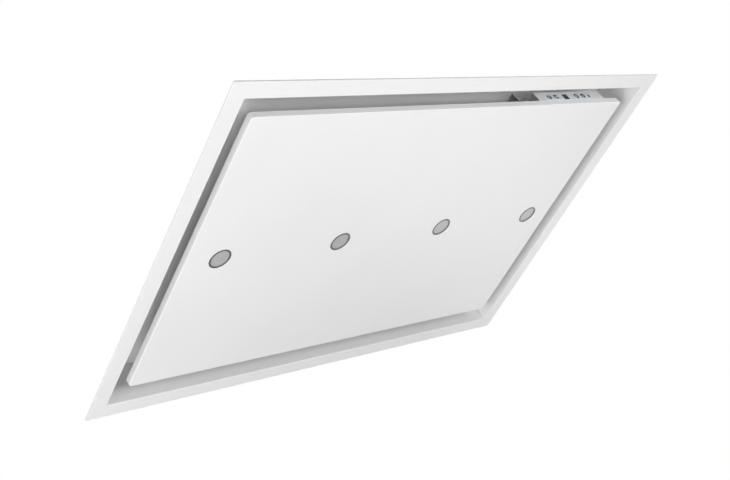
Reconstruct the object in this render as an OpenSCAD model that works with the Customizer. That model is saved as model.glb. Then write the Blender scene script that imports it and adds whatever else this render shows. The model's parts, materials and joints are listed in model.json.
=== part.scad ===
// Ceiling range hood. A hinged panel hangs in a trim frame, and air is drawn in round its edge.
// X runs along the long side, Y across it and Z up into the ceiling. Lengths are millimetres.
// The origin is the middle of the trim frame's visible lower face.

/* [Trim frame] */
// Length of the trim frame
frame_l = 1000; // [980:10:1200]
// Width of the trim frame
frame_w = 700; // [680:10:900]
// Width of the visible flange
flange_w = 30; // [22:1:36]
// Thickness of the flange
flange_t = 3; // [1:0.5:6]
// Sheet thickness of the collar and its lip
collar_t = 1.5; // [1:0.1:2]
// Height from the visible face to the filter plate
collar_h = 75; // [68:1:100]
// Width of the lip round the top of the collar
lip_w = 14; // [11:1:18]

/* [Panel] */
// Air gap at each end of the panel
end_gap = 30; // [15:1:40]
// Air gap along each long side of the panel
side_gap = 35; // [24:1:45]
// Height of the panel's face above the visible face of the frame
panel_recess = 2.5; // [0:0.5:6]
// Depth of the panel tray
panel_h = 12; // [10:0.5:18]
// Sheet thickness of the tray
panel_t = 1.2; // [0.8:0.1:2]
// Outer radius of the tray's bent edge
panel_roll = 2.5; // [2:0.5:9.5]
// Sheet thickness of the panel's back
back_t = 0.8; // [0.6:0.1:1.5]

/* [Lamps] */
// Number of lamps in the row
lamp_count = 4; // [2:1:4]
// Distance of the end lamps from the panel's ends
lamp_end = 65; // [45:5:120]
// Outer diameter of a lamp bezel
lamp_d = 40; // [34:1:60]
// Visible width of the bezel's ring
bezel_w = 3; // [2:0.5:4]
// How far the bezel stands proud of the panel
bezel_proud = 0.8; // [0.4:0.1:2]
// Height of the bezel's barrel behind the panel's face
bezel_h = 11; // [8:0.5:13]
// Height of a whole lamp behind the panel's face
lamp_depth = 32; // [22:1:40]
// Thickness of a lens
lens_t = 2; // [1:0.5:3]

/* [Panel hinges and catches] */
// Distance of each hinge from the panel's end
hinge_end = 140; // [60:5:290]
// Distance of the hinge axis from the panel's long edge
hinge_inset = 20; // [14:1:24]
// Height of the hinge axis above the panel's back
hinge_rise = 16.5; // [12:0.5:18]
// Diameter of a hinge pin
pin_d = 6; // [4:0.5:7]
// Length of a hinge knuckle
knuckle_l = 26; // [16:1:40]
// Distance of each catch from the middle of the panel
catch_x = 150; // [60:5:180]
// Distance of the catches from the panel's free edge
catch_inset = 70; // [50:1:72]
// Width of a catch body
catch_w = 22; // [16:1:24]
// Diameter of a catch plunger
plunger_d = 10; // [6:1:12]
// Travel of a catch plunger
plunger_travel = 4; // [2:0.5:5]

/* [Control strip] */
// Length of the control strip
strip_l = 190; // [150:1:200]
// Distance of the strip's end from the panel's end
strip_end = 43; // [25:1:85]
// Height of the strip
strip_h = 22; // [20:1:26]
// Depth of the strip's housing
strip_depth = 30; // [26:1:34]
// Thickness of the fascia
fascia_t = 1.2; // [0.8:0.1:2]
// Diameter of a button
button_d = 12; // [8:0.5:14]
// Travel of a button
button_travel = 1; // [0.5:0.1:1.5]
// Side of the square display
display_w = 14; // [10:0.5:16]
// Diameter of the remote control receiver
receiver_d = 8; // [5:0.5:10]

/* [Filters] */
// Room between the casing's end walls and the filters
filter_room = 72.5; // [70:0.5:120]
// Room between the collar's long walls and the filters
filter_side = 119; // [117:1:160]
// Thickness of a filter
filter_h = 10; // [8:1:16]
// Width of a filter's rim
filter_rim = 14; // [10:1:20]
// Width of the bar between two filters
filter_bar = 12; // [8:1:16]
// Thickness of the filter plate
plate_t = 1.2; // [0.8:0.1:2]
// Travel of a filter latch
latch_travel = 7; // [4:0.5:9]

/* [Casing] */
// Length of the casing above the filter plate
casing_l = 880; // [860:10:900]
// Width of the casing
casing_w = 580; // [560:10:600]
// Height of the casing above the filter plate
casing_h = 213; // [205:1:260]
// Sheet thickness of the casing
casing_t = 1.2; // [0.8:0.1:2]
// Width of the casing's flanges
casing_flange = 13; // [10:1:15]
// Distance of each hanging bracket from the casing's end
bracket_end = 70; // [45:5:190]
// Reach of a hanging bracket
bracket_reach = 36; // [30:1:42]
// Width of a bracket's slot
slot_w = 9; // [6:0.5:11]
// Length of a bracket's slot
slot_l = 25; // [16:1:30]

/* [Blower] */
// Nominal diameter of the duct
duct_d = 150; // [120:1:150]
// Reach of the duct collar beyond the casing
duct_reach = 48; // [40:1:58]
// Height of the scroll housing
scroll_h = 155; // [153:1:160]
// Sheet thickness of the scroll housing
scroll_t = 1.5; // [1:0.1:2]
// Radius of the impeller
impeller_r = 105; // [90:1:108]
// Radial width of the ring of blades
blade_w = 20; // [12:1:26]
// Number of blades
blade_count = 36; // [24:1:48]
// Diameter of the motor
motor_d = 90; // [70:1:96]
// Length of the motor
motor_l = 66; // [50:1:70]
// Distance of the impeller's axis from the casing's outlet wall
blower_reach = 320; // [260:5:380]

/* [Electronics] */
// Length of the electronics box
ebox_l = 220; // [160:5:300]
// Height of the electronics box
ebox_h = 120; // [90:5:150]
// Depth of the electronics box
ebox_depth = 40; // [30:1:44]
// Diameter of the mains cable that the gland takes
cable_d = 8; // [6:0.5:10]

/* [Hidden] */
$fn = 64;

// Clearances and the overrun of cuts
cut = 5;
seat = 0.3;
slide_gap = 0.25;
pin_clear = 0.05;
filter_gap = 1;

// Trim frame
opening_l = frame_l - 2 * flange_w;
opening_w = frame_w - 2 * flange_w;
lip_l = opening_l + 2 * (collar_t + lip_w);
lip_wd = opening_w + 2 * (collar_t + lip_w);
lip_screws_long = 5;
lip_screws_short = 4;

// Screws
screw_d = 4;
screw_head_d = 7.5;
screw_head_h = 2.2;
screw_end = 1.5;
screw_hole_d = screw_d + 2 * pin_clear;

// Panel
panel_l = opening_l - 2 * end_gap;
panel_w = opening_w - 2 * side_gap;
panel_z = panel_recess;
panel_top = panel_z + panel_h;
panel_inside_l = panel_l - 2 * panel_t;
panel_inside_w = panel_w - 2 * panel_t;
panel_inside_roll = panel_roll - panel_t;

// Lamps
lamp_pitch = (panel_l - 2 * lamp_end) / (lamp_count - 1);
lamp_wall = 1;
lamp_hole_d = lamp_d - 2 * lamp_wall;
barrel_d = lamp_hole_d - 2 * slide_gap;
bezel_bore_d = lamp_d - 2 * bezel_w;
lens_d = bezel_bore_d + lamp_wall;
bezel_lip = 0.5;
fin_count = 6;
fin_gap = 2;
fin_depth = 4;
fin_pitch_share = 0.13;

// Hinges
hinge_x = panel_l / 2 - hinge_end;
hinge_y = panel_w / 2 - hinge_inset;
hinge_z = panel_top + hinge_rise;
ear_t = 2;
ear_r = 8;
knuckle_d = 11;
foot_t = 2;
foot_l = 56;
foot_w = 36;
leaf_l = 50;
leaf_w = 30;
pin_head_t = 1.5;
ear_in = knuckle_l / 2 + seat;
ear_out = ear_in + ear_t;

// Catches
catch_y = catch_inset - panel_w / 2;
striker_t = 1;
striker_l = 30;
striker_w = 20;
catch_open = 10;
plunger_low = panel_top + striker_t + seat;
catch_low = plunger_low + catch_open;
plunger_high = collar_h - 2 * plunger_travel - catch_open;
catch_bore_high = plunger_high + plunger_travel + seat;

// Control strip
strip_x = panel_l / 2 - strip_end - strip_l / 2;
fascia_y = -panel_w / 2;
housing_y = fascia_y + fascia_t;
housing_back = fascia_y + strip_depth;
strip_low = panel_top + 2 * seat;
strip_top = strip_low + strip_h;
strip_mid = (strip_low + strip_top) / 2;
button_rim = 0.6;
button_rim_t = 0.8;
button_proud = 0.6;
housing_t = 1.2;
control_z = strip_low + housing_t + slide_gap + button_rim + button_d / 2;
button_shares = [-0.326, -0.221, 0.095, 0.2];
display_share = -0.0737;
receiver_share = 0.295;
board_t = 1.6;
board_y = fascia_y + strip_depth / 3;
switch_y = board_y - board_t;
switch_w = 6;
bracket_sheet = 1.5;
bracket_foot = 18;

// Filters
plate_top = collar_h + plate_t;
filter_count = 3;
aperture_w = (casing_l - 2 * filter_room - (filter_count - 1) * filter_bar) / filter_count;
aperture_l = opening_w - 2 * filter_side;
filter_w = aperture_w - 2 * filter_gap;
filter_l = aperture_l - 2 * filter_gap;
filter_pitch = aperture_w + filter_bar;
filter_places = [for (i = [0 : filter_count - 1]) (i - (filter_count - 1) / 2) * filter_pitch];
tab_w = 30;
tab_reach = 8;
tab_t = 2;
latch_tip_y = -filter_l / 2 - tab_reach;
latch_stem_y = -filter_l / 2 + filter_rim / 2;
latch_land = 34;
latch_w = 44;
latch_l = 22;
latch_t = 2;
stem_w = 16;
stem_l = 8;
pull_l = 12;
pull_drop = 9;
mesh_h = filter_h - 2 * latch_t;

// Casing
case_z = plate_top;
case_top = case_z + casing_h;
lid_rib_h = 2;
lid_rib_w = 24;
lid_ribs = 3;
lid_rib_share = 0.8;
case_screws_long = 5;
case_screws_short = 3;
bracket_w = 54;
bracket_t = 2.5;
bracket_x = casing_l / 2 - bracket_end;
bracket_drop = 42;
bracket_share = 0.7;
bracket_z = case_z + casing_h * bracket_share;
bracket_bolt_x = 16;
bracket_bolt_drop = 24;
wire_hole_d = 16;

// Blower
blower_x = casing_l / 2 - blower_reach;
mount_h = 16;
mount_d = 20;
scroll_top = case_top - mount_h;
scroll_low = scroll_top - scroll_h;
duct_z = (scroll_top + scroll_low) / 2;
mouth_w = duct_d;
tongue_gap = 7;
spiral_low = impeller_r + tongue_gap;
spiral_high = impeller_r + mouth_w / 2;
blower_y = spiral_high - mouth_w / 2;
mouth_x = casing_l / 2 - casing_t;
tongue_a = -15;
tangent_a = 270;
spiral_steps = 38;
inlet_share = 0.8;
inlet_d = 2 * impeller_r * inlet_share;
inlet_wall = 3;
inlet_drop = 8;
inlet_rise = 3;
impeller_gap = 2;
impeller_room = 8;
impeller_low = scroll_low + scroll_t + inlet_rise + impeller_gap;
impeller_high = scroll_top - scroll_t - impeller_room;
blade_in = impeller_r - blade_w;
blade_share = 0.96;
blade_t = 1;
blade_lean = 30;
disc_t = 1.5;
cup_gap = 13;
cup_drop = 12;
cup_d = motor_d + 2 * cup_gap;
cup_z = impeller_high - motor_l - cup_drop;
hub_d = 20;
hub_h = 14;
shaft_d = 8;
motor_flange_w = 7;
motor_flange_d = motor_d + 2 * motor_flange_w;
motor_flange_t = 3;
motor_low = scroll_top - scroll_t - motor_l;
mount_share = 0.9;
mount_r = impeller_r * mount_share;

// Duct collar and damper
duct_slip = 0.5;
collar_d = duct_d - 2 * duct_slip;
collar_wall = 1.5;
collar_bore = collar_d - 2 * collar_wall;
collar_plate_w = 18;
collar_plate = duct_d + 2 * collar_plate_w;
collar_plate_t = 2;
collar_screw_inset = 10;
collar_screw = collar_plate / 2 - collar_screw_inset;
damper_share = 0.4;
damper_x = casing_l / 2 + duct_reach * damper_share;
damper_pin_d = 3;
damper_barrel_d = 6;
flap_t = 1.5;
flap_gap = 0.8;
flap_r = collar_bore / 2 - flap_gap;
flap_hub_share = 0.8;

// Electronics
ebox_t = 1.5;
ebox_in = -casing_l / 2;
ebox_out = ebox_in - ebox_depth;
ebox_z = [duct_z - ebox_h / 2, duct_z + ebox_h / 2];
power_t = 1.6;
standoff = 8;
standoff_d = 6;
standoff_shares = [0.38, 0.32];
power_shares = [0.86, 0.76];
cover_lap = 8;
gland_d = 18;
gland_thread_d = 12;
gland_nut_t = 7;
gland_reach = 18;
gland_x = ebox_in - ebox_depth / 2;
gland_z = ebox_z[0] + gland_d;
// Shares of the box: place along, place up, depth, length and height of each part on the board
power_part_shares = [
    [-0.27, 0.12, 0.5, 0.36, 0.3],
    [0.02, 0.15, 0.35, 0.16, 0.22],
    [0.14, 0.15, 0.35, 0.16, 0.22],
    [0.29, -0.17, 0.3, 0.4, 0.14],
];

white = "white";
steel = "lightgray";

// The span of a given size about a middle
function about(mid, size) = [mid - size / 2, mid + size / 2];

// A box between spans along X, Y and Z
module box(x, y, z) {
    translate([x[0], y[0], z[0]])
        cube([x[1] - x[0], y[1] - y[0], z[1] - z[0]]);
}

// A slab about the middle of the hood, over a span of heights
module slab(l, w, z) {
    box(about(0, l), about(0, w), z);
}

// Round bars along each axis
module rod_x(x, y, z, d) {
    translate([x[0], y, z])
        rotate([0, 90, 0])
            cylinder(d = d, h = x[1] - x[0]);
}

module rod_y(x, y, z, d) {
    translate([x, y[0], z])
        rotate([-90, 0, 0])
            cylinder(d = d, h = y[1] - y[0]);
}

module rod_z(x, y, z, d) {
    translate([x, y, z[0]])
        cylinder(d = d, h = z[1] - z[0]);
}

// Copies along all four sides of a rectangle
module on_sides(l, w, along, across) {
    for (i = [0 : along - 1], side = [-1, 1])
        translate([l * ((i + 0.5) / along - 0.5), side * w / 2, 0])
            children();
    for (i = [0 : across - 1], side = [-1, 1])
        translate([side * l / 2, w * ((i + 0.5) / across - 0.5), 0])
            children();
}

// A screw with its head on a given height, through a given thickness
module screw(z, through) {
    rod_z(0, 0, [z, z + screw_head_h], screw_head_d);
    rod_z(0, 0, [z - through - screw_end, z], screw_d);
}

// Places of the three sets of casing screws
module at_lip_screws() {
    on_sides(lip_l - lip_w, lip_wd - lip_w, lip_screws_long, lip_screws_short)
        children();
}

module at_foot_screws() {
    on_sides(casing_l + casing_flange, casing_w + casing_flange, case_screws_long, case_screws_short)
        children();
}

module at_lid_screws() {
    on_sides(casing_l - casing_flange, casing_w - casing_flange, case_screws_long, case_screws_short)
        children();
}

// Trim frame: flange against the ceiling, collar up into it, lip for the filter plate
module trim_frame() {
    color(white)
        difference() {
            union() {
                slab(frame_l, frame_w, [0, flange_t]);
                slab(opening_l + 2 * collar_t, opening_w + 2 * collar_t, [0, collar_h]);
                slab(lip_l, lip_wd, [collar_h - collar_t, collar_h]);
            }
            slab(opening_l, opening_w, [-cut, collar_h + cut]);
            at_lip_screws()
                rod_z(0, 0, [collar_h - collar_t - cut, collar_h + cut], screw_hole_d);
        }
}

// Filter plate: closes the collar, with one aperture for each filter
module filter_plate() {
    color(white)
        difference() {
            slab(lip_l, lip_wd, [collar_h, plate_top]);
            for (x = filter_places)
                box(about(x, aperture_w), about(0, aperture_l), [collar_h - cut, plate_top + cut]);
            at_lip_screws()
                rod_z(0, 0, [collar_h - cut, plate_top + cut], screw_hole_d);
            at_foot_screws()
                rod_z(0, 0, [collar_h - cut, plate_top + cut], screw_hole_d);
        }
}

// Rim of one filter, with two tabs at its hinge end and a latch land at the other
module filter_frame(x) {
    land_y = [-filter_l / 2 + filter_rim / 2, -filter_l / 2 + filter_rim / 2 + latch_land];
    color(steel)
        difference() {
            union() {
                box(about(x, filter_w), about(0, filter_l), [collar_h, collar_h + filter_h]);
                for (side = [-1, 1])
                    box(about(x + side * filter_w / 4, tab_w), [filter_l / 2 - filter_rim / 2,
                        filter_l / 2 + tab_reach], [plate_top + seat, plate_top + seat + tab_t]);
            }
            box(about(x, filter_w - 2 * filter_rim), [-filter_l / 2 + filter_rim / 2 + latch_land
                + latch_t, filter_l / 2 - filter_rim], [collar_h - cut, collar_h + filter_h + cut]);
            box(about(x, latch_w + 2 * slide_gap), [-filter_l / 2 - cut, land_y[1]],
                [plate_top, collar_h + filter_h + cut]);
            box(about(x, stem_w + 2 * slide_gap), [latch_stem_y - slide_gap,
                latch_stem_y + stem_l + latch_travel + slide_gap], [collar_h - cut, plate_top + cut]);
        }
}

// Latch of one filter: a bolt over the plate, a stem through the rim and a finger pull below
module filter_latch(x) {
    bolt_z = plate_top + seat;
    pull_z = collar_h - seat;
    color("dimgray")
        union() {
            box(about(x, latch_w), [latch_tip_y, latch_tip_y + tab_reach + latch_l],
                [bolt_z, bolt_z + latch_t]);
            box(about(x, stem_w), [latch_stem_y, latch_stem_y + stem_l], [pull_z - pull_drop, bolt_z]);
            box(about(x, latch_w), [latch_stem_y, latch_stem_y + pull_l],
                [pull_z - pull_drop, pull_z - pull_drop + latch_t]);
        }
}

// Pad of metal mesh inside one filter
module filter_mesh(x) {
    color("silver")
        box(about(x, filter_w - 2 * (filter_rim + seat)), [-filter_l / 2 + filter_rim / 2 + latch_land
            + latch_t + seat, filter_l / 2 - filter_rim - seat],
            [collar_h + latch_t, collar_h + latch_t + mesh_h]);
}

// Casing walls, with a flange out at the foot and a flange in at the top
module casing_walls() {
    color(steel)
        difference() {
            union() {
                slab(casing_l, casing_w, [case_z, case_top]);
                slab(casing_l + 2 * casing_flange, casing_w + 2 * casing_flange,
                    [case_z, case_z + casing_t]);
            }
            slab(casing_l - 2 * casing_t, casing_w - 2 * casing_t, [case_z - cut, case_top - casing_t]);
            slab(casing_l - 2 * casing_flange, casing_w - 2 * casing_flange,
                [case_z - cut, case_top + cut]);
            box([casing_l / 2 - cut, casing_l / 2 + cut], about(0, mouth_w),
                [scroll_low + scroll_t, scroll_top - scroll_t]);
            rod_x([ebox_in - cut, ebox_in + cut], 0, duct_z, wire_hole_d);
            at_foot_screws()
                rod_z(0, 0, [case_z - cut, case_z + cut], screw_hole_d);
            at_lid_screws()
                rod_z(0, 0, [case_top - cut, case_top + cut], screw_hole_d);
            at_bracket_bolts()
                rod_y(0, [-cut, cut], 0, screw_hole_d);
            at_collar_screws()
                rod_x([-cut, cut], 0, 0, screw_hole_d);
        }
}

// Casing lid with pressed ribs
module casing_top() {
    color(steel)
        difference() {
            union() {
                slab(casing_l, casing_w, [case_top, case_top + casing_t]);
                for (i = [0 : lid_ribs - 1])
                    translate([0, casing_w * lid_rib_share * ((i + 0.5) / lid_ribs - 0.5), 0])
                        slab(casing_l * lid_rib_share, lid_rib_w, [case_top, case_top + casing_t + lid_rib_h]);
            }
            for (i = [0 : lid_ribs - 1])
                translate([0, casing_w * lid_rib_share * ((i + 0.5) / lid_ribs - 0.5), 0])
                    slab(casing_l * lid_rib_share - 2 * casing_t, lid_rib_w - 2 * casing_t,
                        [case_top - cut, case_top + lid_rib_h]);
            at_lid_screws()
                rod_z(0, 0, [case_top - cut, case_top + cut], screw_hole_d);
        }
}

// One hanging bracket at each corner
module at_brackets() {
    for (end = [-1, 1], side = [0, 1])
        mirror([0, side, 0])
            translate([end * bracket_x, casing_w / 2, bracket_z])
                children();
}

module at_bracket_bolts() {
    at_brackets()
        for (side = [-1, 1])
            translate([side * bracket_bolt_x, 0, -bracket_bolt_drop])
                children();
}

module suspension_brackets() {
    slot_y = (bracket_reach + bracket_t) / 2;
    color(steel)
        difference() {
            at_brackets()
                union() {
                    box(about(0, bracket_w), [0, bracket_t], [-bracket_drop, 0]);
                    box(about(0, bracket_w), [0, bracket_reach], [-bracket_t, 0]);
                    for (side = [-1, 1])
                        translate([side * (bracket_w - bracket_t) / 2 - bracket_t / 2, 0, 0])
                            rotate([90, 0, 90])
                                linear_extrude(bracket_t)
                                    polygon([[0, 0], [bracket_reach, 0], [bracket_reach, -bracket_t],
                                        [bracket_t, -bracket_drop], [0, -bracket_drop]]);
                }
            at_brackets()
                union() {
                    box(about(0, slot_l - slot_w), about(slot_y, slot_w), [-cut, cut]);
                    for (side = [-1, 1])
                        rod_z(side * (slot_l - slot_w) / 2, slot_y, [-cut, cut], slot_w);
                }
            at_bracket_bolts()
                rod_y(0, [-cut, cut], 0, screw_hole_d);
        }
}

// A slab with its lower edge and its corners bent to one radius
module rolled_slab(l, w, z, r) {
    mid_l = l - 2 * r;
    mid_w = w - 2 * r;
    roll_z = z[0] + r;
    intersection() {
        slab(l, w, z);
        union() {
            slab(mid_l, mid_w, z);
            slab(l, mid_w, [roll_z, z[1]]);
            slab(mid_l, w, [roll_z, z[1]]);
            for (side = [-1, 1]) {
                rod_x(about(0, mid_l), side * mid_w / 2, roll_z, 2 * r);
                rod_y(side * mid_l / 2, about(0, mid_w), roll_z, 2 * r);
                for (end = [-1, 1])
                    translate([end * mid_l / 2, side * mid_w / 2, roll_z])
                        union() {
                            sphere(r);
                            cylinder(r = r, h = z[1] - roll_z);
                        }
            }
        }
    }
}

// Panel tray: the big visible face with its bent sides
module panel_tray() {
    color(white)
        difference() {
            rolled_slab(panel_l, panel_w, [panel_z, panel_top], panel_roll);
            rolled_slab(panel_inside_l, panel_inside_w, [panel_z + panel_t, panel_top + cut],
                panel_inside_roll);
            at_lamps()
                rod_z(0, 0, [panel_z - cut, panel_z + panel_t + cut], lamp_hole_d);
        }
}

// Panel back: a cover in the tray's rim, with a frame that stands on the face
module panel_back() {
    l = panel_l - 2 * panel_roll;
    w = panel_w - 2 * panel_roll;
    color(steel)
        difference() {
            union() {
                slab(l, w, [panel_z + panel_t, panel_top]);
                slab(panel_inside_l - 2 * seat, w, [panel_top - back_t, panel_top]);
                slab(l, panel_inside_w - 2 * seat, [panel_top - back_t, panel_top]);
                for (end = [-1, 1], side = [-1, 1])
                    rod_z(end * l / 2, side * w / 2, [panel_top - back_t, panel_top],
                        2 * (panel_inside_roll - seat));
            }
            slab(l - 2 * back_t, w - 2 * back_t, [panel_z - cut, panel_top - back_t]);
            at_lamps()
                rod_z(0, 0, [panel_z - cut, panel_top + cut], lamp_hole_d + 2 * slide_gap);
        }
}

function lamp_place(i) = (i - (lamp_count - 1) / 2) * lamp_pitch;

module at_lamps() {
    for (i = [0 : lamp_count - 1])
        translate([lamp_place(i), 0, 0])
            children();
}

// Lamp bezel: a thin ring on the face and a barrel through the panel
module lamp_bezel(i) {
    x = lamp_place(i);
    color("silver")
        difference() {
            union() {
                rod_z(x, 0, [panel_z - bezel_proud, panel_z], lamp_d);
                rod_z(x, 0, [panel_z, panel_z + bezel_h], barrel_d);
            }
            rod_z(x, 0, [panel_z - cut, panel_z + bezel_h + cut], bezel_bore_d);
            rod_z(x, 0, [panel_z + bezel_lip, panel_z + bezel_h + cut], lens_d + 2 * pin_clear);
        }
}

module lamp_lens(i) {
    color("lightyellow")
        rod_z(lamp_place(i), 0, [panel_z + bezel_lip, panel_z + bezel_lip + lens_t], lens_d);
}

// Lamp bodies: a plug behind each lens under a finned cooler
module lamp_bodies() {
    plug_z = panel_z + bezel_lip + lens_t;
    color("dimgray")
        at_lamps()
            difference() {
                union() {
                    rod_z(0, 0, [plug_z, panel_z + bezel_h], lens_d);
                    rod_z(0, 0, [panel_z + bezel_h, panel_z + lamp_depth], barrel_d);
                }
                for (i = [0 : fin_count - 1])
                    box(about(barrel_d * fin_pitch_share * (i - (fin_count - 1) / 2), fin_gap),
                        about(0, barrel_d + cut), [panel_top + fin_depth, panel_z + lamp_depth + cut]);
            }
}

// Hinge bracket under the filter plate, on the left with -1 and on the right with 1
module hinge_bracket(side) {
    x = side * hinge_x;
    color(steel)
        difference() {
            union() {
                box(about(x, foot_l), about(hinge_y, foot_w), [collar_h - foot_t, collar_h]);
                for (ear = [-1, 1])
                    ear_plate(x + ear * (ear_in + ear_out) / 2);
            }
            rod_x(about(x, foot_l), hinge_y, hinge_z, pin_d + 2 * pin_clear);
        }
}

module ear_plate(x) {
    box(about(x, ear_t), about(hinge_y, 2 * ear_r), [hinge_z, collar_h]);
    rod_x(about(x, ear_t), hinge_y, hinge_z, 2 * ear_r);
}

// Hinge leaf on the panel's back
module hinge_leaf(side) {
    x = side * hinge_x;
    color(steel)
        difference() {
            union() {
                box(about(x, leaf_l), about(hinge_y, leaf_w), [panel_top, panel_top + foot_t]);
                box(about(x, knuckle_l), about(hinge_y, knuckle_d / 2), [panel_top, hinge_z]);
                rod_x(about(x, knuckle_l), hinge_y, hinge_z, knuckle_d);
            }
            rod_x(about(x, leaf_l), hinge_y, hinge_z, pin_d + 2 * pin_clear);
        }
}

// Hinge pins, each with a head outside its outer ear
module hinge_pins() {
    color("gray")
        for (side = [-1, 1])
            union() {
                rod_x([side * hinge_x - ear_out, side * hinge_x + ear_out], hinge_y, hinge_z, pin_d);
                for (end = [-1, 1])
                    rod_x(about(side * hinge_x + end * (ear_out + pin_head_t / 2), pin_head_t),
                        hinge_y, hinge_z, pin_d + 2 * pin_head_t);
            }
}

// Push catches: body under the plate, sprung magnetic plunger, steel striker on the panel
module catch_body(side) {
    color("dimgray")
        difference() {
            box(about(side * catch_x, catch_w), about(catch_y, catch_w), [catch_low, collar_h]);
            rod_z(side * catch_x, catch_y, [catch_low - cut, catch_bore_high], plunger_d + 2 * pin_clear);
        }
}

module catch_plunger(side) {
    color("lightgray")
        rod_z(side * catch_x, catch_y, [plunger_low, plunger_high], plunger_d);
}

module catch_strikers() {
    color(steel)
        for (side = [-1, 1])
            box(about(side * catch_x, striker_l), about(catch_y, striker_w),
                [panel_top, panel_top + striker_t]);
}

// Control strip: places of what it carries
function strip_place(share) = strip_x + share * strip_l;

// Bracket behind the strip, hung from the filter plate
module control_bracket() {
    color(steel)
        union() {
            box(about(strip_x, strip_l), [housing_back, housing_back + bracket_sheet],
                [strip_low + housing_t, collar_h]);
            box(about(strip_x, strip_l), [housing_back, housing_back + bracket_foot],
                [collar_h - bracket_sheet, collar_h]);
        }
}

// Housing: a shallow box, open towards the fascia, with posts for the board
module control_housing() {
    inside_z = [strip_low + housing_t, strip_top - housing_t];
    color("whitesmoke")
        union() {
            difference() {
                box(about(strip_x, strip_l), [housing_y, housing_back], [strip_low, strip_top]);
                box(about(strip_x, strip_l - 2 * housing_t), [housing_y - cut, housing_back - housing_t],
                    inside_z);
            }
            for (side = [-1, 1])
                box(about(strip_x + side * (strip_l / 2 - 2 * housing_t), 2 * housing_t),
                    [board_y + board_t, housing_back - housing_t], inside_z);
        }
}

// Fascia with holes for the buttons, the receiver and the display
module control_fascia() {
    color("aliceblue")
        difference() {
            box(about(strip_x, strip_l), [fascia_y, housing_y], [strip_low, strip_top]);
            for (share = button_shares)
                rod_y(strip_place(share), [fascia_y - cut, housing_y + cut], control_z,
                    button_d + 2 * slide_gap);
            rod_y(strip_place(receiver_share), [fascia_y - cut, housing_y + cut], control_z,
                receiver_d + 2 * pin_clear);
            box(about(strip_place(display_share), display_w + 2 * pin_clear),
                [fascia_y - cut, housing_y + cut], about(control_z, display_w + 2 * pin_clear));
        }
}

module display_window() {
    color("midnightblue")
        box(about(strip_place(display_share), display_w), [fascia_y, housing_y],
            about(control_z, display_w));
}

module receiver_lens() {
    color("slategray")
        rod_y(strip_place(receiver_share), [fascia_y, housing_y], control_z, receiver_d);
}

// One push button: cap through the fascia, rim behind it, stem towards its switch
module push_button(i) {
    x = strip_place(button_shares[i]);
    rim_y = housing_y + slide_gap;
    color("lightsteelblue")
        union() {
            rod_y(x, [fascia_y - button_proud, rim_y + button_rim_t], control_z, button_d);
            rod_y(x, [rim_y, rim_y + button_rim_t], control_z, button_d + 2 * button_rim);
            rod_y(x, [rim_y, switch_y - button_travel - slide_gap], control_z, switch_w / 2);
        }
}

// Board with one switch behind each button
module control_board() {
    inside = strip_h - 2 * housing_t - 2 * seat;
    color("seagreen")
        union() {
            box(about(strip_x, strip_l - 2 * housing_t - 2 * seat), [board_y, board_y + board_t],
                about(strip_mid, inside));
            for (share = button_shares)
                box(about(strip_place(share), switch_w), [switch_y, board_y], about(control_z, switch_w));
        }
}

// Scroll outline, grown by a wall, with its mouth towards +X
function spiral_r(s) = spiral_low + (spiral_high - spiral_low) * s;
function scroll_outline(grow, end_x) = concat(
    [for (i = [0 : spiral_steps])
        let (s = i / spiral_steps, a = tongue_a + (tangent_a - tongue_a) * s, r = spiral_r(s) + grow)
            [blower_x + r * cos(a), blower_y + r * sin(a)]],
    [[end_x, -mouth_w / 2 - grow], [end_x, mouth_w / 2 + grow]]);

module scroll_slab(grow, end_x, z) {
    translate([0, 0, z[0]])
        linear_extrude(z[1] - z[0])
            polygon(scroll_outline(grow, end_x));
}

module scroll_housing() {
    color(steel)
        difference() {
            scroll_slab(scroll_t, mouth_x, [scroll_low + scroll_t, scroll_top]);
            scroll_slab(0, mouth_x + cut, [scroll_low - cut, scroll_top - scroll_t]);
        }
}

// Scroll floor with the inlet ring
module scroll_floor() {
    color(steel)
        difference() {
            union() {
                scroll_slab(scroll_t, mouth_x, [scroll_low, scroll_low + scroll_t]);
                rod_z(blower_x, blower_y, [scroll_low - inlet_drop, scroll_low + scroll_t + inlet_rise],
                    inlet_d + 2 * inlet_wall);
            }
            rod_z(blower_x, blower_y, [scroll_low - inlet_drop - cut, scroll_top], inlet_d);
        }
}

// Impeller: a ring of blades between a foot ring and a disc
module impeller() {
    z = [impeller_low, impeller_high];
    color("dimgray")
        translate([blower_x, blower_y, 0])
            union() {
                ring(impeller_r, blade_in, [z[0], z[0] + disc_t]);
                ring(impeller_r, cup_d / 2, [z[1] - disc_t, z[1]]);
                for (i = [0 : blade_count - 1])
                    rotate(i * 360 / blade_count)
                        translate([(impeller_r + blade_in) / 2, 0, 0])
                            rotate(blade_lean)
                                box(about(0, blade_w * blade_share), about(0, blade_t), z);
            }
}

// Cup in the middle of the impeller, dished to clear the motor, with the hub on its shaft
module impeller_cup() {
    color("gray")
        translate([blower_x, blower_y, 0])
            union() {
                ring(cup_d / 2, cup_d / 2 - disc_t, [cup_z, impeller_high]);
                ring(cup_d / 2, shaft_d / 2 + pin_clear, [cup_z, cup_z + disc_t]);
                ring(hub_d / 2, shaft_d / 2 + pin_clear, [cup_z, cup_z + hub_h]);
            }
}

module ring(outer_r, inner_r, z) {
    difference() {
        rod_z(0, 0, z, 2 * outer_r);
        rod_z(0, 0, [z[0] - cut, z[1] + cut], 2 * inner_r);
    }
}

// Motor hung inside the impeller's cup from the top of the scroll
module motor() {
    top = scroll_top - scroll_t;
    color("gray")
        union() {
            rod_z(blower_x, blower_y, [top - motor_flange_t, top], motor_flange_d);
            rod_z(blower_x, blower_y, [motor_low, top], motor_d);
            rod_z(blower_x, blower_y, [cup_z, motor_low], shaft_d);
        }
}

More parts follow.
